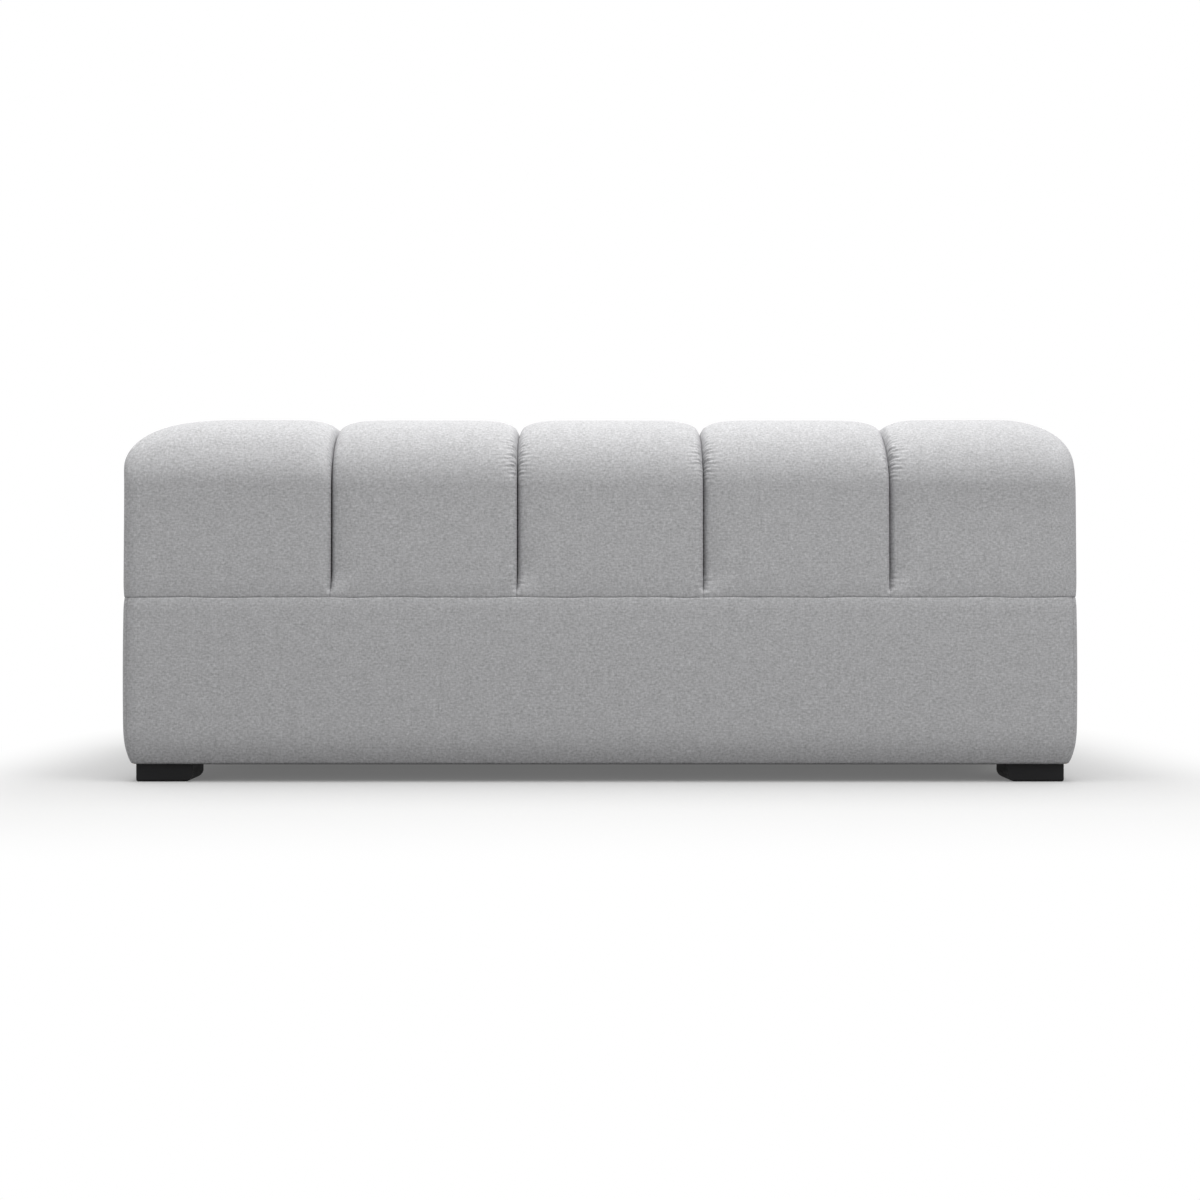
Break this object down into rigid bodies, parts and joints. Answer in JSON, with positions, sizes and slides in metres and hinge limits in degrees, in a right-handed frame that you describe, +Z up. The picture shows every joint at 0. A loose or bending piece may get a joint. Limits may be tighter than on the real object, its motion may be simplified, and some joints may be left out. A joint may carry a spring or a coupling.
{
  "type": "modular sofa",
  "caption": "Low upholstered sofa module with vertical channels rolled over its back and arm, a plain lower band, block feet, and swing hooks under its open end.",
  "frame": {"origin": "on the floor, under the middle of the sofa's outline", "axes": "+X towards the arm end, +Y towards the back, +Z up; the seat faces -Y"},
  "size_m": [1.7, 1, 0.655],
  "materials": {
    "cover_fabric": "woven light grey melange",
    "dust_cloth": "black spunbond cloth",
    "webbing": "elastic webbing",
    "felt": "pressed felt",
    "foam": "cut foam",
    "foot_plastic": "fine moulded grain",
    "zinc_steel": "zinc plated",
    "hardboard": "pressed board",
    "plywood": "sanded plywood",
    "pine": "planed softwood"
  },
  "bodies": {
    "sofa": {"arm_beam": "pine", "arm_bottom_board": "plywood", "arm_gables": "plywood", "arm_inner_sheet": "hardboard", "arm_outer_sheet": "hardboard", "arm_pad_1": "cover_fabric", "arm_pad_2": "cover_fabric", "arm_top_board": "plywood", "back_beam": "pine", "back_bottom_board": "plywood", "back_end_pad": "cover_fabric", "back_gables": "plywood", "back_pad_1": "cover_fabric", "back_pad_2": "cover_fabric", "back_pad_3": "cover_fabric", "back_rear_sheet": "hardboard", "back_straps": "webbing", "back_top_board": "plywood", "band_arm_end": "cover_fabric", "band_front": "cover_fabric", "band_open_end": "cover_fabric", "band_rear": "cover_fabric", "base_arm_end_rail": "pine", "base_corner_blocks": "pine", "base_front_rail": "pine", "base_open_end_rail": "pine", "base_rear_rail": "pine", "base_stretchers": "pine", "connector_blocks": "pine", "connector_pivot_front": "zinc_steel", "connector_pivot_rear": "zinc_steel", "connector_plate_front": "zinc_steel", "connector_plate_rear": "zinc_steel", "connector_screws": "zinc_steel", "corner_pad": "cover_fabric", "dust_cover": "dust_cloth", "foot_bolts": "zinc_steel", "foot_front_arm": "foot_plastic", "foot_front_open_end": "foot_plastic", "foot_rear_arm": "foot_plastic", "foot_rear_open_end": "foot_plastic", "seat_felt": "felt", "seat_foam": "foam", "seat_pad_1": "cover_fabric", "seat_pad_2": "cover_fabric", "seat_pad_3": "cover_fabric", "seat_pad_4": "cover_fabric", "seat_straps_cross": "webbing", "seat_straps_long": "webbing"},
    "front_hook": {"connector_hook_front": "zinc_steel"},
    "rear_hook": {"connector_hook_rear": "zinc_steel"}
  },
  "joints": [
    {"name": "front_hook_swing", "type": "hinge", "parent": "sofa", "child": "front_hook", "pos_m": [-0.778, -0.23, 0.0267], "axis": [0, 0, 1], "range_deg": [0, 90]},
    {"name": "rear_hook_swing", "type": "hinge", "parent": "sofa", "child": "rear_hook", "pos_m": [-0.778, 0.23, 0.0267], "axis": [0, 0, 1], "range_deg": [-90, 0]}
  ]
}
